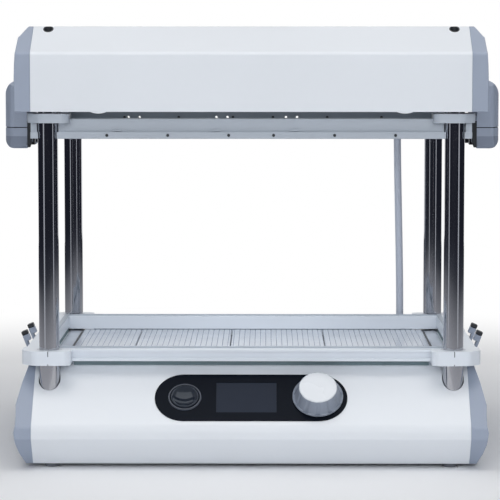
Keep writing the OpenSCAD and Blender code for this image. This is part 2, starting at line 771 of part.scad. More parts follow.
module head_cable() {
    rings = [for (i = [0:lead_steps])
        let (
            t = i / lead_steps,
            blend = t * t * (3 - 2 * t),
            x = lead_foot_x + (lead_head_x - lead_foot_x) * blend
        )
        [for (k = [0:lead_sides - 1])
            let (a = 360 * k / lead_sides)
            [x + lead_d / 2 * cos(a), lead_y + lead_d / 2 * sin(a), lead_z0 + (lead_z1 - lead_z0) * t]]];
    sides = [for (i = [0:lead_steps - 1], k = [0:lead_sides - 1])
        let (a = i * lead_sides + k, b = i * lead_sides + (k + 1) % lead_sides)
        each [[a, a + lead_sides, b + lead_sides], [a, b + lead_sides, b]]];
    ends = [
        [for (k = [0:lead_sides - 1]) k],
        [for (k = [lead_sides - 1:-1:0]) lead_steps * lead_sides + k]
    ];
    color(grey) polyhedron([for (r = rings) each r], concat(sides, ends));
}
module cable_glands() {
    color(grey) {
        translate([lead_foot_x, lead_y, deck_z]) rotate_extrude()
            polygon([[0, 0], [gland_d / 2, 0], [gland_d / 2, 3], [lead_d / 2 + 0.8, gland_h],
                [0, gland_h]]);
        translate([lead_head_x, lead_y, lead_z1]) rotate_extrude()
            polygon([[0, 0], [lead_d / 2 + 0.8, 0], [gland_d / 2, gland_h - 3],
                [gland_d / 2, gland_h], [0, gland_h]]);
    }
}

// Hood
module hood_shell() {
    color(white) difference() {
        union() {
            difference() {
                along_x(-side_x, side_x) polygon(rounded(hood_side));
                along_x(-side_x - cut, side_x + cut) polygon(rounded(inset(hood_side, shell_t)));
                box(-side_x - cut, side_x + cut, hood_front_y + shell_t, hood_rear_y - shell_t,
                    hood_z - cut, hood_z + shell_t + cut);
            }
            intersection() {
                along_x(-side_x, side_x) polygon(rounded(inset(hood_side, shell_t / 2)));
                hood_fixings() cylinder(d = fixing_d + 2 * fixing_cup_t, h = 30);
            }
        }
        hood_fixings() translate([0, 0, fixing_cup_t]) cylinder(d = fixing_d, h = 30);
        hood_fixings() translate([0, 0, -cut]) cylinder(d = 4.4, h = 5, $fn = small_fn);
    }
}
module hood_fixings() {
    for (sx = [-1, 1], sy = [-1, 1])
        translate([sx * post_x, mid_y + sy * fixing_y, fixing_z]) children();
}
module hood_cap() {
    color(grey) difference() {
        intersection() {
            along_y(hood_front_y - cut, hood_rear_y + cut) polygon(cap_front);
            along_x(side_x, side_x + cap_t + cut) polygon(rounded(hood_side));
        }
        along_x(side_x - cut, side_x + cap_t - 10) polygon(rounded(inset(hood_side, 6)));
    }
}
module hood_cap_right() hood_cap();
module hood_cap_left() mirror([1, 0, 0]) hood_cap();
module hood_chassis() {
    color(steel) difference() {
        box(-side_x + 0.2, side_x - 0.2, hood_front_y + shell_t + chassis_gap,
            hood_rear_y - shell_t - chassis_gap, chassis_z, chassis_top);
        box(-reflector_x + reflector_t, reflector_x - reflector_t, mid_y - reflector_y + reflector_t,
            mid_y + reflector_y - reflector_t, chassis_z - cut, chassis_top + cut);
        at_posts() translate([0, 0, chassis_z - cut]) cylinder(d = post_screw_d, h = chassis_t + 2 * cut);
    }
}
module hood_standoffs() {
    color(steel) difference() {
        hood_fixings() translate([0, 0, chassis_top - fixing_z])
            cylinder(d = 10, h = fixing_z - chassis_top, $fn = 6);
        hood_fixings() translate([0, 0, -hood_screw_l])
            cylinder(d = hood_screw_d, h = hood_screw_l + 4, $fn = small_fn);
    }
}
module hood_screws() {
    color(dark) hood_fixings() {
        translate([0, 0, fixing_cup_t - hood_screw_l])
            cylinder(d = hood_screw_d, h = hood_screw_l, $fn = small_fn);
        difference() {
            translate([0, 0, fixing_cup_t])
                cylinder(d = hood_screw_head_d, h = hood_screw_head_h, $fn = small_fn);
            translate([0, 0, fixing_cup_t + hood_screw_head_h / 2])
                cylinder(d = hood_screw_d, h = hood_screw_head_h, $fn = 6);
        }
    }
}
module screw_wells() {
    well_r = fixing_d / 2 - well_gap;
    color(dark) intersection() {
        along_x(-side_x, side_x) polygon(rounded(hood_side));
        hood_fixings() tube(well_r - well_t, well_r, fixing_cup_t, 30);
    }
}
module heater_reflector() {
    color(steel) translate([0, mid_y, 0]) difference() {
        box(-reflector_x, reflector_x, -reflector_y, reflector_y, chassis_top, reflector_top);
        box(-reflector_x + reflector_t, reflector_x - reflector_t, -reflector_y + reflector_t,
            reflector_y - reflector_t, chassis_top - cut, reflector_top - reflector_t);
        translate([0, 0, reflector_top - reflector_t - cut])
            cylinder(d = 5, h = reflector_t + 2 * cut, $fn = small_fn);
    }
}
module heater_elements() {
    color([0.93, 0.92, 0.88]) for (i = [0:heater_count - 1])
        translate([0, mid_y + (i - (heater_count - 1) / 2) * heater_pitch, heater_z]) {
            along_x(-heater_l / 2, heater_l / 2) polygon([
                [-heater_w / 2, 0], [-heater_w * 0.375, 0], [-heater_w / 4, heater_t * 0.3],
                [heater_w / 4, heater_t * 0.3], [heater_w * 0.375, 0], [heater_w / 2, 0],
                [heater_w / 2, heater_t * 0.6], [heater_w * 0.4, heater_t],
                [-heater_w * 0.4, heater_t], [-heater_w / 2, heater_t * 0.6]
            ]);
            for (s = [-1, 1]) translate([s * heater_l / 4, 0, heater_t])
                cylinder(d = heater_w * 0.3, h = reflector_top - reflector_t - heater_z - heater_t);
        }
}
module insulation_board() {
    color([0.86, 0.84, 0.78]) translate([0, mid_y, 0]) difference() {
        box(-reflector_x + 2, reflector_x - 2, -reflector_y + 2, reflector_y - 2,
            reflector_top, reflector_top + insulation_t);
        translate([0, 0, reflector_top - cut]) cylinder(d = 5, h = insulation_t + 2 * cut, $fn = small_fn);
    }
}
module temperature_probe() {
    color(steel) translate([0, mid_y, heater_z + 2]) {
        cylinder(d = 5, h = reflector_top + insulation_t - heater_z - 2, $fn = small_fn);
        translate([0, 0, reflector_top + insulation_t - heater_z - 2])
            cylinder(d = 12, h = 6, $fn = small_fn);
    }
}

// Clamp frames
module collar_plan(out) {
    polygon(rounded([
        [-collar_in, -collar_front + 3, 5], [-collar_in + 5, -collar_front, 5],
        [out - 11, -collar_front, 11], [out, -collar_front + 11, 9],
        [out, collar_front, 3], [-collar_in, collar_front, 4]
    ]));
}
// The split that lets a collar be drawn tight on its bushing
module collar_splits(z0, z1) {
    at_posts() box(-split_w / 2, split_w / 2, -collar_front - cut, -bush_d / 2 + cut, z0, z1);
}
module rail_plan(x1, grow = 0) {
    translate([0, mid_y]) difference() {
        centred(2 * x1, 2 * (rail_y_out + grow), 4);
        centred(2 * rail_x0, 2 * rail_y_in);
    }
}
module seal_plan() {
    translate([0, mid_y]) difference() {
        centred(2 * (rail_x0 + seal_inset + seal_w), 2 * (rail_y_in + seal_inset + seal_w), 3);
        centred(2 * (rail_x0 + seal_inset), 2 * (rail_y_in + seal_inset));
    }
}
module bushing(z0, z1) {
    tube(post_d / 2 + bush_gap, bush_d / 2, z0, z1);
}
module upper_frame() {
    color(white) difference() {
        union() {
            translate([0, 0, upper_z]) linear_extrude(upper_h) rail_plan(upper_x1);
            translate([0, 0, upper_z]) linear_extrude(flange_h) rail_plan(upper_x1, flange_out);
            at_posts() translate([0, 0, upper_collar_z]) linear_extrude(collar_h)
                collar_plan(upper_collar_out);
            for (x = lug_places) box(x - lug_w / 2, x + lug_w / 2, mid_y - rail_y_out - flange_out,
                mid_y + rail_y_out + flange_out, lug_z, lug_z + 1.1);
        }
        translate([0, mid_y, upper_z - cut]) linear_extrude(upper_h + 2 * cut)
            centred(2 * rail_x0, 2 * rail_y_in);
        for (x = lug_places, t = [-1, 1]) translate([x + t * lug_hole_pitch / 2, 0, lug_hole_z])
            rotate([-90, 0, 0]) cylinder(d = rivet_d, h = rear_y, $fn = 16);
        collar_splits(upper_collar_z - cut, upper_collar_top + cut);
        post_holes(bush_d / 2, upper_collar_z, upper_collar_top + cut);
        post_holes(post_d / 2 + post_clear, upper_z - cut, upper_collar_z + cut);
    }
}
module upper_bushings() {
    color(grey) at_posts() bushing(upper_collar_z, upper_collar_top);
}
module upper_seal() {
    color(grey) difference() {
        translate([0, 0, upper_z - upper_seal_t]) linear_extrude(upper_seal_t) seal_plan();
        post_holes(bush_d / 2 + 0.5, upper_z - 3, upper_z + cut);
    }
}
// Rivets through the flange outside, and through the rail inside
module seal_rivets() {
    color(dark) for (s = [-1, 1], t = [-1, 1], i = [0:2]) {
        x = t * (rivet_x + i * rivet_pitch);
        translate([x, mid_y + s * (rail_y_out + flange_out), upper_z + rivet_drop])
            rotate([-90 * s, 0, 0]) cylinder(d = rivet_d, h = rivet_h, $fn = 16);
        translate([x, mid_y + s * rail_y_in, lug_hole_z])
            rotate([90 * s, 0, 0]) cylinder(d = rivet_d, h = rivet_h, $fn = 16);
    }
}
module handle() {
    y0 = mid_y - handle_l / 2;
    y1 = mid_y + handle_l / 2;
    top = handle_z + handle_h;
    color(grey) difference() {
        union() {
            intersection() {
                along_y(y0, y1) polygon(rounded([
                    [handle_low_x, handle_z, 1], [handle_x1, handle_z, handle_r - 6],
                    [handle_x1, top, handle_r], [handle_x0, top, 1],
                    [handle_x0, handle_step_z, 0], [handle_low_x, handle_step_z, 1]
                ], 8));
                translate([0, mid_y, 0]) linear_extrude(hood_top) polygon(rounded([
                    [rail_x0, -handle_l / 2, 0], [handle_x1 - 6, -handle_l / 2, 5],
                    [handle_x1, -handle_l / 2 + 12, 12], [handle_x1, handle_l / 2 - 12, 12],
                    [handle_x1 - 6, handle_l / 2, 5], [rail_x0, handle_l / 2, 0]
                ], 8));
                along_x(rail_x0, handle_x1 + cut) polygon(rounded([
                    [y0 + 3.5, handle_z, 3], [y1 - 3.5, handle_z, 3], [y1, handle_z + 11, 3],
                    [y1, top - 6, 4], [y1 - 6, top, 4], [y0 + 6, top, 4], [y0, top - 6, 4],
                    [y0, handle_z + 11, 3]
                ]));
            }
            for (s = [-1, 1]) box(upper_x1, handle_low_x + 3,
                mid_y + s * (handle_l / 2 - 5) - 3.5, mid_y + s * (handle_l / 2 - 5) + 3.5,
                upper_z + flange_h + 1, upper_top - 1);
        }
        along_y(y0 + 10, y1 - 10) polygon(rounded([
            [upper_x1, handle_z - cut, 0], [handle_x1 - handle_t, handle_z - cut, 0],
            [handle_x1 - handle_t, pocket_top, 7], [upper_x1, pocket_top, 0]
        ]));
    }
}
module handle_right() handle();
module handle_left() mirror([1, 0, 0]) handle();
module latch_keepers() {
    color(dark) for (s = [0, 1], t = [-1, 1]) mirror([s, 0, 0])
        translate([0, mid_y + t * hook_span / 2, upper_z]) {
            box(lip_x0, lip_x0 + keeper_t, -keeper_w / 2, keeper_w / 2, -keeper_drop, 0);
            box(lip_x0, lip_x1, -keeper_w / 2, keeper_w / 2, -keeper_drop, -keeper_drop + lip_t);
            box(upper_x1 - 6, lip_x0 + keeper_t, -keeper_w / 2, keeper_w / 2, -keeper_t, 0);
        }
}
module lower_frame() {
    groove = 2.4;
    color(white) difference() {
        union() {
            difference() {
                translate([0, 0, lower_z]) linear_extrude(lower_h) rail_plan(rail_x1);
                translate([0, mid_y, lower_z + 2.6]) linear_extrude(lower_h - 4.8) difference() {
                    centred(2 * rail_x1 + 4, 2 * rail_y_out + 4);
                    centred(2 * (rail_x1 - groove), 2 * (rail_y_out - groove));
                }
            }
            at_posts() translate([0, 0, lower_z - collar_drop])
                linear_extrude(lower_h + collar_drop) collar_plan(collar_out);
        }
        collar_splits(lower_z - collar_drop - cut, lower_top + cut);
        post_holes(bush_d / 2, lower_z - collar_drop - cut, lower_top + cut);
    }
}
module lower_bushings() {
    color(grey) at_posts() bushing(lower_z - collar_drop, lower_top);
}
module lower_seal() {
    color(grey) difference() {
        translate([0, 0, lower_top]) linear_extrude(lower_seal_t) seal_plan();
        post_holes(bush_d / 2 + 0.5, lower_top - cut, lower_top + 4);
    }
}
module latch_brackets() {
    half_w = hook_w / 2 + ear_gap;
    color(steel) for (s = [0, 1], h = [-1, 1]) mirror([s, 0, 0])
        translate([0, mid_y + h * hook_span / 2, 0]) difference() {
            union() {
                box(rail_x1, rail_x1 + bracket_t, -half_w - ear_t, half_w + ear_t, latch_z - 3, latch_z + 3.4);
                for (t = [0, 1]) mirror([0, t, 0]) {
                    box(rail_x1, rail_x1 + bracket_t, keeper_w / 2 + keeper_gap, half_w + ear_t,
                        latch_z, lower_top - 1.5);
                    box(rail_x1 + bracket_t, latch_x, half_w, half_w + ear_t, latch_z - 3, latch_z + 3);
                    translate([latch_x, half_w + ear_t, latch_z]) rotate([90, 0, 0])
                        cylinder(r = 3, h = ear_t);
                }
            }
            translate([latch_x, half_w + ear_t + cut, latch_z]) rotate([90, 0, 0])
                cylinder(r = latch_pin_d / 2 + bush_gap, h = 2 * (half_w + ear_t + cut));
        }
}
// Two hooks on one pin, drawn closed about it, then leaned out to their rest
module latch() {
    lip_top = upper_z - keeper_drop + lip_t - frame_travel - latch_z;
    nose_z0 = lip_top + 0.3;
    pin_l = hook_span + hook_w + 2 * (ear_gap + ear_t);
    color(grey) translate([latch_x, mid_y, latch_z]) rotate([0, latch_lean, 0]) {
        for (t = [-1, 1]) translate([0, t * hook_span / 2, 0]) {
            along_y(-hook_w / 2, hook_w / 2) polygon(rounded([
                [1.1, -2, 0], [3.6, -2, 0], [3.6, latch_h, 1.2], [1.1, latch_h, 0.8],
                [1.1, nose_z0 + 3.6, 0], [-2.2, nose_z0 + 1.6, 0.5], [-2.2, nose_z0, 0],
                [1.1, nose_z0, 0]
            ], 3));
            along_y(-hook_w / 2 + 1.5, hook_w / 2 - 1.5)
                polygon([[1.1, -3.2], [8.5, -4], [8.5, -2.4], [2, -1]]);
            translate([0, hook_w / 2, 0]) rotate([90, 0, 0]) cylinder(r = 2.6, h = hook_w);
        }
        translate([0, pin_l / 2, 0]) rotate([90, 0, 0]) cylinder(d = latch_pin_d, h = pin_l);
    }
}
module latch_right() latch();
module latch_left() mirror([1, 0, 0]) latch();

base_shell();
side_panel_left();
side_panel_right();
base_tray();
rear_panel();
feet();
post_front_left();
post_front_right();
post_rear_left();
post_rear_right();
post_screws();
platen();
platen_surround();
deck_seal();
vacuum_plenum();
vacuum_hose();
pump_housing();
pump_motor();
pump_impeller();
power_supply();
control_board();
control_bezel();
lcd_screen();
button_ring();
button_switch();
vacuum_button();
encoder_housing();
encoder_rotor();
dial_shaft();
dial_knob();
dial_cap();
power_inlet();
switch_frame();
power_rocker();
head_cable();
cable_glands();
hood_shell();
hood_cap_left();
hood_cap_right();
hood_chassis();
hood_standoffs();
hood_screws();
screw_wells();
heater_reflector();
heater_elements();
insulation_board();
temperature_probe();
upper_frame();
upper_bushings();
upper_seal();
seal_rivets();
handle_left();
handle_right();
latch_keepers();
lower_frame();
lower_bushings();
lower_seal();
latch_brackets();
latch_left();
latch_right();
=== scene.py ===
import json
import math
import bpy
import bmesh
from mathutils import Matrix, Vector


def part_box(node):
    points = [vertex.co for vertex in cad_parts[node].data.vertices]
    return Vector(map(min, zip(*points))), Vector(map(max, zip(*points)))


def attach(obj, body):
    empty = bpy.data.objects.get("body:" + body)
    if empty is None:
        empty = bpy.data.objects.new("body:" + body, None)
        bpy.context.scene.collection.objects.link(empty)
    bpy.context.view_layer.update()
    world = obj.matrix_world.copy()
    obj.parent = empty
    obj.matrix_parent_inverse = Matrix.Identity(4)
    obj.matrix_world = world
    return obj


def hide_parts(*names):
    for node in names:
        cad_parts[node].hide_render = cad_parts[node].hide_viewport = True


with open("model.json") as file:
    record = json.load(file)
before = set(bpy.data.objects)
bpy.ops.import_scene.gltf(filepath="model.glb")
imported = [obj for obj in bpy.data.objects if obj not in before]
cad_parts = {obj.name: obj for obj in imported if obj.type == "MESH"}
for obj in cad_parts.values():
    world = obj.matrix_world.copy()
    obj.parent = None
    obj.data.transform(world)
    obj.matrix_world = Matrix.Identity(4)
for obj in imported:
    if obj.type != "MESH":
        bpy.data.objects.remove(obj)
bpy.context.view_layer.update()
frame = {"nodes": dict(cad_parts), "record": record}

# %% [markdown]
# A desktop vacuum forming machine. A box-shaped base holds the pump and the controls,
# four chrome posts carry a heater hood, and two clamp frames slide on the posts with the
# plastic sheet between them. The frame that was just loaded is the rigid machine, every
# part in its place, in metres. This script dresses it: it gives each part its finish,
# swaps a few parts for more detailed ones, and sets up the studio.

MM = 0.001
nodes = frame["nodes"]

# %% [markdown]
# The camera stands a little over two metres in front of the machine, at about the height
# of its hood, and looks down by five degrees. A long lens keeps the posts almost
# upright. The numbers come from the known post spacing and where the posts, the hood and
# the base fall in the picture.

# %% Camera
camera_data = bpy.data.cameras.new("camera")
camera_data.sensor_width = 36
camera_data.lens = 175.2
camera_data.clip_end = 60
camera = bpy.data.objects.new("camera", camera_data)
bpy.context.scene.collection.objects.link(camera)
camera.location = (0.0140, -2.2228, 0.3684)
camera.rotation_euler = (math.radians(90 - 4.962), 0, math.radians(0.411))
bpy.context.scene.camera = camera
bpy.context.scene.view_settings.view_transform = "Standard"
print("camera", tuple(round(v, 3) for v in camera.location))

# %% [markdown]
# A finish is a small network of nodes. Most of them here are the same idea: one colour
# that drifts a little from place to place, a roughness that drifts with it, and a fine
# grain that tilts the surface. So one function builds them all, and its arguments say
# how strong each effect is. The patterns use Object coordinates, which are metres on
# every part, so a scale of 900 means about one bump per millimetre.

# %% Finish builder
def linear(red, green, blue):
    """A colour picked on screen, 0 to 255, as the light it stands for."""
    return tuple((c / 255 / 12.92) if c <= 10 else ((c / 255 + 0.055) / 1.055) ** 2.4
                 for c in (red, green, blue)) + (1,)


def new_node(material, kind, settings=None, **values):
    """Adds a node; settings are its options, values its sockets."""
    node = material.node_tree.nodes.new(kind)
    for option, value in (settings or {}).items():
        setattr(node, option, value)
    for socket, value in values.items():
        node.inputs[socket.replace("_", " ")].default_value = value
    return node


def plug(material, output, target):
    """Links an output to a socket."""
    material.node_tree.links.new(output, target)


def noise(material, scale, stretch=(1, 1, 1), detail=3):
    """Cloudy noise on the part's own coordinates, stretched along an axis if asked."""
    place = new_node(material, "ShaderNodeTexCoord")
    turn = new_node(material, "ShaderNodeMapping", Scale=stretch)
    cloud = new_node(material, "ShaderNodeTexNoise", Scale=scale, Detail=detail)
    plug(material, place.outputs["Object"], turn.inputs["Vector"])
    plug(material, turn.outputs["Vector"], cloud.inputs["Vector"])
    return cloud.outputs["Fac"]


def ranged(material, source, low, high):
    """Turns a 0 to 1 pattern into a low to high one."""
    span = new_node(material, "ShaderNodeMapRange", From_Min=0.3, From_Max=0.7,
                    To_Min=low, To_Max=high)
    plug(material, source, span.inputs["Value"])
    return span.outputs["Result"]


finishes = {}


grain_height = 0.00004


def finish(name, colour, rough, drift, drift_scale, grain, grain_scale=900,
           stretch=(1, 1, 1), **sockets):
    """A drifting colour and roughness with a fine grain. Sockets go to the shader."""
    material = bpy.data.materials.new("finish_" + name)
    material.use_nodes = True
    finishes[name] = material
    shader = material.node_tree.nodes["Principled BSDF"]
    for socket, value in sockets.items():
        shader.inputs[socket.replace("_", " ")].default_value = value
    shade = new_node(material, "ShaderNodeMix", {"data_type": "RGBA"})
    shade.inputs["A"].default_value = [c * (1 - drift) for c in colour[:3]] + [1]
    shade.inputs["B"].default_value = [min(1, c * (1 + drift)) for c in colour[:3]] + [1]
    cloud = noise(material, drift_scale, stretch)
    plug(material, ranged(material, cloud, 0, 1), shade.inputs["Factor"])
    plug(material, shade.outputs["Result"], shader.inputs["Base Color"])
    plug(material, ranged(material, cloud, rough * 0.85, rough * 1.15),
         shader.inputs["Roughness"])
    if grain:
        bump = new_node(material, "ShaderNodeBump", Strength=grain,
                        Distance=grain_height)
        plug(material, noise(material, grain_scale, stretch, 2), bump.inputs["Height"])
        plug(material, bump.outputs["Normal"], shader.inputs["Normal"])


def tinted(name, axis, start, end, tint):
    """Tints a finish gradually along X, Y or Z, from start to end in millimetres."""
    material = finishes[name]
    base = material.node_tree.nodes["Principled BSDF"].inputs["Base Color"]
    parts = new_node(material, "ShaderNodeSeparateXYZ")
    plug(material, new_node(material, "ShaderNodeTexCoord").outputs["Object"],
         parts.inputs["Vector"])
    amount = new_node(material, "ShaderNodeMapRange", From_Min=start * MM,
                      From_Max=end * MM)
    plug(material, parts.outputs[axis], amount.inputs["Value"])
    mix = new_node(material, "ShaderNodeMix", {"data_type": "RGBA",
                                               "blend_type": "MULTIPLY"})
    mix.inputs["B"].default_value = tint
    plug(material, base.links[0].from_socket, mix.inputs["A"])
    plug(material, amount.outputs["Result"], mix.inputs["Factor"])
    plug(material, mix.outputs["Result"], base)


# %% [markdown]
# The machine has few colours. The housings are sheet and moulded parts in a cool white
# paint, the ends and handles are blue-grey plastic with a fine moulded grain, the control
# panel is gloss black, and the posts are hard chrome on ground steel. Hidden parts get
# their real finishes as well, because someone may open the model up.

# %% Finishes
finish("white_paint", linear(224, 228, 233), 0.34, 0.012, 7, 0.10, 700,
       Coat_Weight=0.15, Coat_Roughness=0.12)
finish("frame_white", linear(219, 225, 233), 0.40, 0.015, 11, 0.16, 1100,
       Coat_Weight=0.10, Coat_Roughness=0.2)
finish("platen_white", linear(206, 212, 222), 0.20, 0.02, 20, 0.05, 600)
finish("grey_plastic", linear(150, 160, 178), 0.46, 0.02, 12, 0.30, 1500)
finish("dark_plastic", linear(34, 38, 44), 0.50, 0.06, 15, 0.30, 1500)
finish("panel_black", linear(15, 20, 29), 0.22, 0.05, 30, 0.03, 500,
       Specular_IOR_Level=0.03)
finish("screen_glass", linear(43, 49, 61), 0.12, 0.04, 14, 0,
       Specular_IOR_Level=0.03)
finish("chrome_post", linear(188, 189, 194), 0.08, 0.04, 60, 0,
       stretch=(1, 1, 0.02), Metallic=1.0)
finish("zinc_steel", linear(168, 171, 176), 0.32, 0.08, 60, 0.2, 700,
       Metallic=1.0)
finish("bright_sheet", linear(196, 198, 202), 0.22, 0.04, 40, 0.25, 500,
       stretch=(0.04, 1, 1), Metallic=1.0)
finish("seal_rubber", linear(112, 132, 138), 0.62, 0.05, 25, 0.25, 1300)
finish("silicone", linear(176, 184, 194), 0.55, 0.03, 25, 0.2, 1200)
finish("foot_rubber", linear(96, 99, 106), 0.75, 0.08, 30, 0.4, 1400)
finish("bush_plastic", linear(188, 194, 203), 0.42, 0.03, 30, 0.1, 1300)
finish("dial_grey", linear(132, 140, 154), 0.38, 0.02, 30, 0.2, 1500)
finish("dial_white", linear(214, 218, 223), 0.26, 0.01, 30, 0.05, 1200,
       Coat_Weight=0.3, Coat_Roughness=0.08)
finish("cable_grey", linear(178, 184, 197), 0.50, 0.03, 40, 0.2, 1200)
finish("board_green", linear(28, 84, 52), 0.34, 0.15, 90, 0.2, 600)
finish("ceramic", linear(232, 229, 220), 0.58, 0.03, 25, 0.35, 1200)
finish("insulation", linear(214, 209, 196), 0.85, 0.06, 50, 0.6, 500)
finish("brass", linear(196, 160, 90), 0.28, 0.06, 60, 0.15, 700, Metallic=1.0)
finish("black_steel", linear(40, 42, 46), 0.38, 0.1, 60, 0.2, 900,
       Metallic=0.6)
# A darker grey plastic, painted shade for the lowest part of the handles, where they turn
# under.
finish("under_shade_grey", linear(128, 137, 154), 0.55, 0.02, 12, 0.30, 1500)
finish("tiles_groove_shade", linear(193, 200, 211), 0.22, 0.02, 20, 0.05, 600)
# Painted shade: the colour darkens towards the groove floors, below the tops of the
# squares.
tinted("tiles_groove_shade", "Z", 87.42, 87.2, (0.34, 0.38, 0.46, 1))
# A greyer copy of the frame white, painted shade for the upper frame under the hood. It is
# painted darker still on the inside at the back, and goes back to the plain grey from the
# back face outward.
finish("frame_painted_shade", linear(178, 186, 196), 0.42, 0.015, 11, 0.16, 1100)
tinted("frame_painted_shade", "Y", 118, 124, (0.40, 0.42, 0.44, 1))
tinted("frame_painted_shade", "Y", 128, 131, (2.5, 2.38, 2.27, 1))
finish("button_black", linear(24, 29, 40), 0.10, 0.05, 30, 0,
       Specular_IOR_Level=0.28, Specular_Tint=(0.8, 0.9, 1.0, 1))
finish("rim_grey", linear(66, 71, 82), 0.25, 0.05, 30, 0.05, 900)
print(len(finishes), "finishes")

# %% [markdown]
# The record names the finish slot of every part, and the loaded parts carry a plain
# material of that name. So a loop swaps each plain material for the finish of the same
# name, and no part is left with a flat colour.

# %% Hand out the finishes
for part in nodes.values():
    for place in part.material_slots:
        place.material = finishes[place.material.name.split(".")[0]]
print(len(nodes), "parts in", len(finishes), "finishes")

# %% [markdown]
# A real edge is never perfectly sharp: sheet metal is bent over a radius, and a moulding
# leaves its tool with a small round, which catches a thin line of light. The loaded parts
# have sharp edges and loose triangles. So each part that shows gets a stand-in: a merged
# copy of its mesh, whose flat faces are joined again and whose sharp edges are bevelled.
# A live Bevel modifier would do it in one line, but it also rounds the seams between
# triangles of a flat face. The Weighted Normal modifier at the end keeps the flat faces
# looking flat beside their small rounds.

# %% Rounded stand-ins
def dressed(form, name, body, slot, *replaced, sharp=50, paint=None):
    """Turns a bmesh into a finished piece that rides on a body.

    Its finish is that of its slot, unless a paint is named.
    """
    bmesh.ops.remove_doubles(form, verts=form.verts, dist=1e-7)
    bmesh.ops.recalc_face_normals(form, faces=form.faces)
    for face in form.faces:
        face.smooth = True
    for edge in form.edges:
        edge.smooth = not (edge.is_manifold
                           and edge.calc_face_angle() > math.radians(sharp))
    mesh = bpy.data.meshes.new(name)
    form.to_mesh(mesh)
    form.free()
    piece = bpy.data.objects.new(name, mesh)
    bpy.context.scene.collection.objects.link(piece)
    piece.data.materials.append(finishes[paint or slot])
    even = piece.modifiers.new("normals", "WEIGHTED_NORMAL")
    even.keep_sharp = True
    even.weight = 90
    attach(piece, body)
    if replaced:
        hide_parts(*replaced)
    return piece


body_of = {node: body for body, names in frame["record"]["behaviour"]["bodies"].items()
           for node in names}
slot_of = {part["node"]: part["material_slot"] for part in frame["record"]["subparts"]}


def merged(name):
    """The mesh of a part as a bmesh, its triangles joined into flat faces again."""
    form = bmesh.new()
    form.from_mesh(nodes[name].data)
    bmesh.ops.remove_doubles(form, verts=form.verts, dist=2e-6)
    bmesh.ops.dissolve_limit(form, angle_limit=math.radians(0.4), verts=form.verts,
                             edges=form.edges)
    return form


sharp_from = math.radians(28)


def rounded(name, width):
    """A merged copy of a part, its edges rounded by a width in millimetres."""
    form = merged(name)
    sharp = [edge for edge in form.edges
             if edge.is_manifold and edge.calc_face_angle() > sharp_from]
    bmesh.ops.bevel(form, geom=sharp, offset=width * MM, offset_type="OFFSET",
                    affect="EDGES", segments=3, profile=0.5, material=-1,
                    clamp_overlap=True)
    return form


edge_rounds = {
    "base_shell": 0.6, "side_panel_left": 0.9, "side_panel_right": 0.9,
    "hood_shell": 0.5, "hood_cap_left": 0.8, "hood_cap_right": 0.8,
    "lower_frame": 0.6, "rear_panel": 0.2, "dial_knob": 0.35, "latch_brackets": 0.2,
    "power_rocker": 0.3, "power_inlet": 0.3, "switch_frame": 0.3,
}
for name, width in edge_rounds.items():
    piece = dressed(rounded(name, width), name + "_rounded", body_of[name],
                    slot_of[name], name)
    print(name, len(piece.data.polygons), "faces")

# %% [markdown]
# The small straight pieces are all made alike, in millimetres, which are easier to read
# than metres. A few points make the section, one face fills it, an extrude pulls it to
# its length, and a bevel breaks its edges. Boxes come straight from a cube. Each form is
# scaled down to metres just before it is dressed.

# %% Helpers for straight pieces
def pulled(section, axis, start, end):
    """Fills a section of points and extrudes it along x or y, all in millimetres."""
    form = bmesh.new()
    if axis == "x":
        points = [form.verts.new((start, a, b)) for a, b in section]
        step = (end - start, 0, 0)
    else:
        points = [form.verts.new((a, start, b)) for a, b in section]
        step = (0, end - start, 0)
    face = form.faces.new(points)
    made = bmesh.ops.extrude_face_region(form, geom=[face])["geom"]
    far_end = [part for part in made if isinstance(part, bmesh.types.BMVert)]
    bmesh.ops.translate(form, vec=step, verts=far_end)
    bmesh.ops.recalc_face_normals(form, faces=form.faces)
    return form


def edge_rounded(form, width):
    """Rounds every edge of a small piece that is sharper than 25 degrees."""
    sharp = [edge for edge in form.edges if edge.calc_face_angle() > math.radians(25)]
    bmesh.ops.bevel(form, geom=sharp, offset=width, offset_type="OFFSET", affect="EDGES",
                    segments=2, profile=0.5, material=-1, clamp_overlap=True)


def add_part(group, part):
    """Adds one bmesh to another by way of a mesh, which is then thrown away."""
    mesh = bpy.data.meshes.new("part")
    part.to_mesh(mesh)
    part.free()
    group.from_mesh(mesh)
    bpy.data.meshes.remove(mesh)


def to_metres(form):
    """Scales a form down from millimetres."""
    bmesh.ops.scale(form, vec=(MM, MM, MM), verts=form.verts)
    return form


def block(form, middle, size):
    """Adds a box to a bmesh, by its middle and its size in millimetres."""
    bmesh.ops.create_cube(form, size=1, matrix=Matrix.Translation(middle)
                          @ Matrix.Diagonal((*size, 1)))


# %% [markdown]
# The lower clamp frame is lined at the back with a light folded strip, an L in section.
# It covers the gap down to the deck, where the dark seal would show through the window.

# %% Window strip
window_half = 178.2
strip_section = [(122.9, 87.9), (124.0, 87.9), (124.0, 99.0), (127.1, 99.0),
                 (127.1, 100.1), (122.9, 100.1)]
strip = pulled(strip_section, "x", -window_half, window_half)
edge_rounded(strip, 0.3)
dressed(to_metres(strip), "window_strip", "lower", "frame_white")
print("window strip", 2 * window_half, "mm long")

# %% [markdown]
# Each collar has a short tick at the middle of its front, above and below, which shows
# where the frame sits on its post. The loaded collars are split over their whole height,
# so thin shims fill the rest of each split.

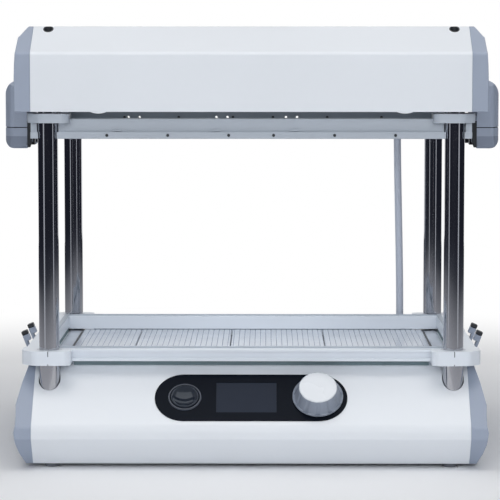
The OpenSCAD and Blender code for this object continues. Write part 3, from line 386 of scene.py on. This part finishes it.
# %% Collar shims
post_x, front_y, rear_y = 175.0, -129.0, 141.0
collar_reach, bush_r, set_back = 17.0, 11.1, 0.02
shim_width, tick_width, tick_depth = 2.0, 1.5, 3.3
# The upper shims take the upper frame's painted shade.
shim_heights = (("upper", 296.65, 304.45, "frame_painted_shade"), ("lower", 89.0, 95.4, None))
tick_heights = ((95.4, 99.9), (87.9, 89.0))
shim_depths = ((front_y - collar_reach + set_back, front_y - bush_r),
               (rear_y + bush_r, rear_y + collar_reach - set_back))
for body, low, high, paint in shim_heights:
    shims = bmesh.new()
    for side in (-1, 1):
        for start, end in shim_depths:
            block(shims, (side * post_x, (start + end) / 2, (low + high) / 2),
                  (shim_width, end - start, high - low))
    dressed(to_metres(shims), "collar_shims_" + body, body, "frame_white", paint=paint)
ticks = bmesh.new()
for side in (-1, 1):
    for low, high in tick_heights:
        block(ticks, (side * post_x, front_y - collar_reach + 2, (low + high) / 2),
              (tick_width, tick_depth, high - low))
dressed(to_metres(ticks), "collar_ticks", "lower", "dark_plastic")
print("collar shims", shim_width, "mm wide")

# %% [markdown]
# Two hooks on each side clamp the frames together on the sheet. Each hook is a grey block
# on a pin with a black rubber tip for the finger. It is drawn closed, standing upright on
# its pin, and then leaned out by the angle at which it rests.

# %% Latches
def rod(form, middle, radius, length, segments):
    """Adds a cylinder that lies along y, in millimetres."""
    bmesh.ops.create_cone(form, cap_ends=True, segments=segments, radius1=radius,
                          radius2=radius, depth=length, matrix=Matrix.Translation(middle)
                          @ Matrix.Rotation(math.pi / 2, 4, "X"))


latch_pin, latch_lean = (200.4, 6.0, 88.1), math.radians(22)
hook_span, hook_width, eye_r, pin_r, pin_over = 56, 9, 2.6, 1.4, 15.2
block_section = [(1.1, -2), (3.6, -2), (3.6, 13), (-2.2, 13), (-2.2, 7.4), (1.1, 7.4)]
tip_section = [(-2.2, 13.05), (3.6, 13.05), (3.6, 17), (-2.2, 17)]
for side, name in ((-1, "latch_left"), (1, "latch_right")):
    lean = (Matrix.Scale(MM, 4) @ Matrix.Scale(side, 4, (1, 0, 0))
            @ Matrix.Translation(latch_pin) @ Matrix.Rotation(latch_lean, 4, "Y"))
    blocks, tips = bmesh.new(), bmesh.new()
    for along in (-hook_span / 2, hook_span / 2):
        for group, section, inset, rounding in ((blocks, block_section, 0, 0.4),
                                                (tips, tip_section, 0.2, 0.8)):
            half = hook_width / 2 - inset
            part = pulled(section, "y", along - half, along + half)
            edge_rounded(part, rounding)
            add_part(group, part)
        rod(blocks, (0, along, 0), eye_r, hook_width, 32)
    rod(blocks, (0, 0, 0), pin_r, hook_span + pin_over, 24)
    for group in (blocks, tips):
        bmesh.ops.transform(group, matrix=lean, verts=group.verts)
    dressed(blocks, name + "_hooks", name, "grey_plastic", name)
    dressed(tips, name + "_tips", name, "dark_plastic")
print("latches lean", round(math.degrees(latch_lean)), "degrees")

# %% [markdown]
# The upper frame hangs right under the heater, in its shade, and its paint is painted
# greyer as painted shade, darkest on the inside at the back. In front of the handles its
# sides are set a few millimetres further in than at the handles. Planes cut the form where
# the step begins, and the vertices beyond them move inward.

# %% Upper frame
def sliced(form, axis, *places):
    """Cuts the whole form by planes at right angles to an axis, in millimetres."""
    for place in places:
        point, normal = [0, 0, 0], [0, 0, 0]
        point[axis], normal[axis] = place * MM, 1
        bmesh.ops.bisect_plane(form, geom=form.verts[:] + form.edges[:] + form.faces[:],
                               dist=1e-6, plane_co=point, plane_no=normal)


step_z, step_y, step_width, rail_side, set_in = 296.3, -45.0, 0.2, 190.0, 3.7
hair = 0.01
form = rounded("upper_frame", 0.5)
sliced(form, 2, step_z)
sliced(form, 1, step_y - step_width, step_y)
outer = [vert for vert in form.verts
         if abs(vert.co.x) > rail_side * MM and vert.co.z < (step_z + hair) * MM
         and vert.co.y < (step_y - step_width + hair) * MM]
for vert in outer:
    vert.co.x -= math.copysign(set_in * MM, vert.co.x)
# The upper frame takes the finish with painted shade.
dressed(form, "upper_frame_rounded", "upper", "frame_white", "upper_frame",
        paint="frame_painted_shade")
print("upper frame,", len(outer), "vertices set in")

# %% [markdown]
# The handles are hollow mouldings, open towards the machine. A fine groove runs round
# each of them, and the lowest part, which turns under, is painted darker as painted shade.
# The groove is cut by two planes and pushed in by an inset and painted dark as painted
# shade, and the painted shade is the same mesh with other materials. A dark plate of
# painted shade closes each of the front and back ends of the hollow, whose inside lies in
# shadow.

# %% Handles
under_shade_top, groove_low, groove_high = 281.4, 288.7, 289.6
shade_plate_section = ((201.4, 271.4), (198.8, 271.4), (197.3, 275.5), (196.8, 284),
                  (197.0, 295), (201.4, 295))
shade_plate_ends = ((-41.7, -39.5), (51.5, 53.7))
for side, name in ((-1, "handle_left"), (1, "handle_right")):
    form = rounded(name, 0.9)
    sliced(form, 2, under_shade_top, groove_low, groove_high)
    form.normal_update()
    groove = [face for face in form.faces
              if groove_low * MM < face.calc_center_median().z < groove_high * MM
              and abs(face.normal.z) < 0.5]
    bmesh.ops.inset_region(form, faces=groove, thickness=0.1 * MM, depth=-0.6 * MM)
    # Faces below the line take the painted shade, and the groove faces are painted dark as
    # painted shade in the groove.
    for face in form.faces:
        face.material_index = int(face.calc_center_median().z < under_shade_top * MM)
    for face in groove:
        face.material_index = 2
    piece = dressed(form, name + "_rounded", "upper", "grey_plastic", name)
    piece.data.materials.append(finishes["under_shade_grey"])
    piece.data.materials.append(finishes["dark_plastic"])
    print(name, len(groove), "faces in the groove")
    # Dark plates of painted shade fill the shadowed front and back ends of the hollow.
    shade_plate = bmesh.new()
    for start, end in shade_plate_ends:
        add_part(shade_plate, pulled([(side * across, height) for across, height
                                 in shade_plate_section], "y", start, end))
    dressed(to_metres(shade_plate), name + "_lining", "upper", "dark_plastic")

# %% [markdown]
# Two small rounded tabs show under the front edge of the hood. Each is a thin disc that
# stands inside the front wall, so only the lowest slice of it comes out below the edge.

# %% Hood tabs
hood_low, tab_y = 306.4, -149.35
tab_radius, tab_thick, tab_drop, tab_kept = 17.0, 0.9, 1.5, 1.5
form = bmesh.new()
for across in (-130.0, 131.0):
    rod(form, (across, tab_y, hood_low - tab_drop + tab_radius), tab_radius, tab_thick, 96)
bmesh.ops.bisect_plane(form, geom=form.verts[:] + form.edges[:] + form.faces[:],
                       plane_co=(0, 0, hood_low + tab_kept), plane_no=(0, 0, 1),
                       clear_outer=True)
bmesh.ops.holes_fill(form, edges=[edge for edge in form.edges if edge.is_boundary])
dressed(to_metres(form), "hood_tabs", "base", "white_paint")
print("hood tabs,", tab_drop, "mm below the edge")

# %% [markdown]
# The platen is the table that the warm sheet is drawn down onto. Its face is divided into
# small squares by fine grooves, which spread the vacuum under the sheet, and three long
# slots let the air out. The grooves could be painted by a brick texture, but then they
# would lie flat in the light. Here they are real: a grid is cut along the slots, given a
# thickness, and every square on top is inset and raised by a fraction of a millimetre.
# The normals are recalculated before the top faces are picked by them, because a fresh
# solid may still be inside out.

# %% Platen tiles
tile, slab_sunk, slab_thick, groove_half, tile_rise = 5.0, 0.1, 0.25, 0.42, 0.35
smallest_tile = 0.9
slot_first, slot_pitch, slot_width, slot_end = -107.0, 87.0, 1.6, 6.0
low, high = [Vector(corner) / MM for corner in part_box("platen")]
columns = int((high.x - low.x) / tile)
rows = int((high.y - low.y) / tile)
middle = (low + high) / 2
slot_half = (high.y - low.y) / 2 - slot_end

form = bmesh.new()
bmesh.ops.create_grid(form, x_segments=columns, y_segments=rows, size=0.5,
                      matrix=Matrix.Translation((middle.x, middle.y, high.z - slab_sunk))
                      @ Matrix.Diagonal((columns * tile, rows * tile, 1, 1)))
for i in range(3):
    centre = slot_first + i * slot_pitch
    for side in (-1, 1):
        bmesh.ops.bisect_plane(form, geom=form.verts[:] + form.edges[:] + form.faces[:],
                               plane_co=(centre + side * slot_width / 2, 0, 0),
                               plane_no=(1, 0, 0))
    strip = [face for face in form.faces
             if abs(face.calc_center_median().x - centre) < slot_width / 2
             and abs(face.calc_center_median().y - middle.y) < slot_half]
    bmesh.ops.delete(form, geom=strip, context="FACES")
bmesh.ops.solidify(form, geom=form.faces[:], thickness=-slab_thick)
bmesh.ops.recalc_face_normals(form, faces=form.faces)
level = max(vert.co.z for vert in form.verts)
top = [face for face in form.faces if face.normal.z > 0.9
       and face.calc_center_median().z > level - hair]
print("top of the slab at", round(level, 2), "mm,", len(top), "squares")
top = [face for face in top
       if min(edge.calc_length() for edge in face.edges) > smallest_tile]
bmesh.ops.inset_individual(form, faces=top, thickness=groove_half, depth=tile_rise,
                           use_even_offset=True)
# The squares take the finish with painted shade in the grooves.
tiles = dressed(to_metres(form), "platen_tiles", "base", "platen_white", sharp=30,
                paint="tiles_groove_shade")
print("platen", columns, "by", rows, "squares,", len(tiles.data.polygons), "faces")

# %% [markdown]
# A dark seam separates the platen from its surround on each side: a strip of sealing
# cord, pressed into the joint, whose top stays just below the squares.

# %% Platen seams
seam_x, seam_z, seam_end = high.x + 0.2, high.z - 0.15, 1
seam_size = (2.0, high.y - low.y - 2 * seam_end, 0.8)
seams = bmesh.new()
for side in (-1, 1):
    block(seams, (side * seam_x, middle.y, seam_z), seam_size)
dressed(to_metres(seams), "platen_seams", "base", "dark_plastic")
print("seams at", round(seam_x, 1), "mm from the middle")

# %% [markdown]
# The controls sit on the slope of the base. It is easier to model a button flat, with its
# axis upright, than to model it tilted. So each piece is drawn flat in millimetres, round
# the middle of its own hole, and one matrix then carries it to the slope. The columns of
# that matrix are the slope's own directions: right, up the slope, and straight out of it.

# %% Slope of the panel
slope_foot = Vector((0, -168.0, 37.6))
slope_run, slope_rise = 50.0, 47.4
slope_length = math.hypot(slope_run, slope_rise)
up_slope = Vector((0, slope_run, slope_rise)) / slope_length
out_of_slope = Vector((1, 0, 0)).cross(up_slope)
panel_middle = slope_foot + up_slope * (slope_length / 2 - 2)


def on_slope(x):
    """Carries a flat piece, in millimetres, to the slope, x to the right of the middle."""
    turn = Matrix((Vector((1, 0, 0)), up_slope, out_of_slope)).transposed().to_4x4()
    return Matrix.Scale(MM, 4) @ Matrix.Translation(panel_middle + Vector((x, 0, 0))) @ turn


print("panel middle", [round(v, 1) for v in panel_middle])

# %% [markdown]
# Round pieces are turned, as on a lathe: the edge of half the section is drawn as a row
# of points and spun about the axis. The ends of the row lie on the axis or meet each
# other, so that the spun surface closes, and the doubled points are merged afterwards.

# %% Turned pieces
def turned(section, place, closed=False):
    """Spins a section of (radius, height) points about the upright axis."""
    form = bmesh.new()
    points = [form.verts.new((radius, 0, height)) for radius, height in section]
    edges = [form.edges.new(pair) for pair in zip(points, points[1:])]
    if closed:
        edges.append(form.edges.new((points[-1], points[0])))
    bmesh.ops.spin(form, geom=points + edges, cent=(0, 0, 0), axis=(0, 0, 1),
                   angle=math.tau, steps=96, use_merge=True)
    bmesh.ops.remove_doubles(form, verts=form.verts, dist=1e-4)
    bmesh.ops.transform(form, matrix=place, verts=form.verts)
    return form


# %% [markdown]
# The push button is a shallow dish inside a raised ring. The dish matters: its walls tilt
# by up to 25 degrees, so they mirror the lights as soft spots, which is how the eye reads
# it as hollow. The curve of the dish is a power of the radius, which gives a flat middle
# and a steep rim. The ring stands a little proud and catches a thin line all round.

# %% Push button
button_x = -57.1
dish_r, dish_low, dish_rise, dish_curve, dish_steps = 11.0, 0.3, 2.5, 2.3, 12
dish_section = [(dish_r * i / dish_steps,
                 dish_low + dish_rise * (i / dish_steps) ** dish_curve)
                for i in range(dish_steps + 1)]
stem_section = [(11.5, 2.72), (12.1, 2.5), (12.45, 1.9), (12.5, -1.5), (4, -1.5),
                (4, -9.5), (0, -9.5)]
button = turned(dish_section + stem_section, on_slope(button_x))
dressed(button, "button_dish", "button", "panel_black", "vacuum_button", sharp=60,
        paint="button_black")
rim_section = [(12.8, 0.7), (12.8, 1.7), (13.1, 2.05), (13.5, 2.2), (13.95, 2.05),
               (14.3, 1.6), (14.5, 0.7)]
rim = turned(rim_section, on_slope(button_x), closed=True)
dressed(rim, "button_rim", "base", "dark_plastic", "button_ring", sharp=70,
        paint="rim_grey")
print("push button", 2 * dish_r, "mm across the dish")

# %% [markdown]
# The dial has a grey fluted skirt, which stays as it was loaded but for its edges, and a
# white cap. The cap is a little smaller than the skirt's top, so a grey line runs round
# it, and its face is very slightly domed, so the light slides over it when it turns.

# %% Dial cap
dial_x, dial_seat, cap_r = 57.5, 14.4, 16.2
cap = turned([(0, dial_seat + 1.2), (6, dial_seat + 1.16), (12, dial_seat + 1.05),
              (cap_r - 0.9, dial_seat + 0.9), (cap_r - 0.3, dial_seat + 0.7),
              (cap_r, dial_seat + 0.3), (cap_r, dial_seat - 0.2), (0, dial_seat - 0.2)],
             on_slope(dial_x))
dressed(cap, "dial_cap_domed", "dial", "dial_white", "dial_cap", sharp=60)
print("dial cap", 2 * cap_r, "mm across")

# %% [markdown]
# The studio is a pale table in front of a white background. The world lights the machine
# softly from all round, but a camera or a gloss sees it as plain white. The table keeps
# the machine's shadow close by, and turns into plain white further out, so that no
# horizon shows.

# %% Studio
def ray_is_seen(tree):
    """1 for a ray that shows the background: from the camera, a gloss or a glass."""
    path = tree.nodes.new("ShaderNodeLightPath")
    total = path.outputs["Is Camera Ray"]
    for output in ("Is Glossy Ray", "Is Transmission Ray"):
        larger = tree.nodes.new("ShaderNodeMath")
        larger.operation = "MAXIMUM"
        tree.links.new(total, larger.inputs[0])
        tree.links.new(path.outputs[output], larger.inputs[1])
        total = larger.outputs[0]
    return total


world = bpy.data.worlds.new("studio")
bpy.context.scene.world = world
world.use_nodes = True
tree = world.node_tree
light = tree.nodes["Background"]
light.inputs["Color"].default_value = linear(240, 245, 255)
light.inputs["Strength"].default_value = 0.21
shown = tree.nodes.new("ShaderNodeBackground")
shown.inputs["Color"].default_value = (1, 1, 1, 1)
choose = tree.nodes.new("ShaderNodeMixShader")
tree.links.new(ray_is_seen(tree), choose.inputs["Fac"])
tree.links.new(light.outputs[0], choose.inputs[1])
tree.links.new(shown.outputs[0], choose.inputs[2])
tree.links.new(choose.outputs[0], tree.nodes["World Output"].inputs["Surface"])

table = bpy.data.materials.new("table")
table.use_nodes = True
tree = table.node_tree
surface = tree.nodes["Principled BSDF"]
surface.inputs["Base Color"].default_value = linear(240, 241, 243)
surface.inputs["Roughness"].default_value = 0.7
white = tree.nodes.new("ShaderNodeEmission")
far = new_node(table, "ShaderNodeMapRange", {"interpolation_type": "SMOOTHSTEP"},
               From_Min=0.35, From_Max=1.1)
length = new_node(table, "ShaderNodeVectorMath", {"operation": "LENGTH"})
plug(table, new_node(table, "ShaderNodeTexCoord").outputs["Object"], length.inputs[0])
plug(table, length.outputs["Value"], far.inputs["Value"])
amount = new_node(table, "ShaderNodeMath", {"operation": "MULTIPLY"})
plug(table, far.outputs["Result"], amount.inputs[0])
plug(table, ray_is_seen(tree), amount.inputs[1])
choose = tree.nodes.new("ShaderNodeMixShader")
plug(table, amount.outputs[0], choose.inputs["Fac"])
plug(table, surface.outputs[0], choose.inputs[1])
plug(table, white.outputs[0], choose.inputs[2])
plug(table, choose.outputs[0], tree.nodes["Material Output"].inputs["Surface"])


def stage_piece(form, name, material):
    """Adds a thing that belongs to the studio and not to the machine."""
    mesh = bpy.data.meshes.new(name)
    form.to_mesh(mesh)
    form.free()
    thing = bpy.data.objects.new(name, mesh)
    bpy.context.scene.collection.objects.link(thing)
    thing.data.materials.append(material)
    return thing


form = bmesh.new()
bmesh.ops.create_circle(form, cap_ends=True, segments=96, radius=20)
stage_piece(form, "floor", table)
print("floor laid")

# %% [markdown]
# Chrome shows nothing but its surroundings, so in a white studio it would look like white
# plastic. Photographers stand dark cards round it, just out of view. Here a dark wall
# stands in a wide arc round the front and sides, and two narrow bright panels in front of
# it give each post its two streaks. They are seen by glossy rays only, so they neither
# light nor shade the machine. Behind the machine the background stays white.

# %% Cards for the chrome
def glowing(name):
    """A material that only glows, and the node that holds its colour."""
    material = bpy.data.materials.new(name)
    material.use_nodes = True
    material.node_tree.nodes.remove(material.node_tree.nodes["Principled BSDF"])
    glow = new_node(material, "ShaderNodeEmission")
    plug(material, glow.outputs[0],
         material.node_tree.nodes["Material Output"].inputs["Surface"])
    return material, glow


def only_in_gloss(thing):
    """Hides a thing from every ray but a mirrored one."""
    for kind in ("camera", "diffuse", "transmission", "volume_scatter", "shadow"):
        setattr(thing, "visible_" + kind, False)


def card(name, radius, start, sweep, low, high, middle, colour):
    """An upright curved card; angles in degrees from straight in front, to the right."""
    material, glow = glowing("card_" + name)
    glow.inputs["Color"].default_value = colour
    form = bmesh.new()
    first = math.radians(start)
    ends = [form.verts.new((radius * math.sin(first), -radius * math.cos(first), height))
            for height in (low, high)]
    edge = form.edges.new(ends)
    bmesh.ops.spin(form, geom=ends + [edge], cent=(0, 0, 0), axis=(0, 0, 1),
                   angle=math.radians(sweep), steps=max(2, int(sweep / 5)))
    bmesh.ops.translate(form, vec=(middle[0], middle[1], 0), verts=form.verts)
    only_in_gloss(stage_piece(form, name, material))


wall_radius = 2.2
card("wall", wall_radius, -140, 280, 0.0, 1.1, (0, 0), linear(36, 38, 48))
for side, name in ((-1, "streak_left"), (1, "streak_right")):
    card(name, 0.08, 0, 180, 0.02, 1.0, (side * 0.60, -0.54), linear(205, 208, 214))
print("cards up, the wall", wall_radius, "m away")

# %% [markdown]
# The low part of a post mirrors the floor, which would be white. A flat grey apron on the
# floor, seen by glossy rays only and darker further out, gives that part its slow change
# from dark to pale. Its colour is mixed by the distance from the machine.

# %% Apron for the chrome
apron_inner, apron_height = 0.60, 0.003
apron, glow = glowing("apron")
reach = new_node(apron, "ShaderNodeVectorMath", {"operation": "LENGTH"})
plug(apron, new_node(apron, "ShaderNodeTexCoord").outputs["Object"], reach.inputs[0])
fade = new_node(apron, "ShaderNodeMapRange", From_Min=apron_inner, From_Max=1.75)
plug(apron, reach.outputs["Value"], fade.inputs["Value"])
shade = new_node(apron, "ShaderNodeMix", {"data_type": "RGBA"})
shade.inputs["A"].default_value = linear(196, 197, 202)
shade.inputs["B"].default_value = linear(52, 55, 64)
plug(apron, fade.outputs["Result"], shade.inputs["Factor"])
plug(apron, shade.outputs["Result"], glow.inputs["Color"])
form = bmesh.new()
ends = [form.verts.new((radius, 0, apron_height)) for radius in (apron_inner, wall_radius)]
bmesh.ops.spin(form, geom=ends + [form.edges.new(ends)], cent=(0, 0, 0), axis=(0, 0, 1),
               angle=math.tau, steps=96, use_merge=True)
only_in_gloss(stage_piece(form, "apron", apron))
print("apron from", apron_inner, "m to", wall_radius, "m")

# %% [markdown]
# The lamps are large, so their shadows are soft. A broad one stands in front, a little
# above the machine, so its light passes under the hood onto the lower frame. One overhead
# makes the faces that look up a little brighter than the upright ones. The two at the
# sides are weak, and only keep the grey ends from going dull. A small dim one hides under
# the hood, where no light from overhead can reach, and lifts the platen and the inside of
# the lower frame.

# %% Lamps
def lamp(name, place, aim, size, power, colour):
    """A rectangular lamp that points from its place to its aim; power in watts."""
    data = bpy.data.lights.new(name, "AREA")
    data.shape = "RECTANGLE"
    data.size, data.size_y = size
    data.energy = power
    data.color = colour
    thing = bpy.data.objects.new(name, data)
    bpy.context.scene.collection.objects.link(thing)
    thing.location = place
    thing.rotation_mode = "QUATERNION"
    thing.rotation_quaternion = (Vector(aim) - Vector(place)).to_track_quat("-Z", "Y")


lamp("front", (0.0, -2.7, 0.95), (0, 0, 0.2), (2.6, 0.9), 31.5, (0.96, 0.98, 1.0))
lamp("overhead", (0.0, -0.5, 2.4), (0, 0, 0.2), (2.4, 1.8), 28, (1.0, 0.985, 0.965))
lamp("left", (-2.2, -1.4, 1.2), (0, 0, 0.2), (1.2, 1.6), 2.5, (1, 1, 1))
lamp("right", (2.2, -1.4, 1.2), (0, 0, 0.2), (1.2, 1.6), 2.5, (1, 1, 1))
lamp("under_hood", (0, 0, 0.282), (0, 0.02, 0), (0.30, 0.20), 0.33, (0.94, 0.97, 1.0))
print("lamps lit")
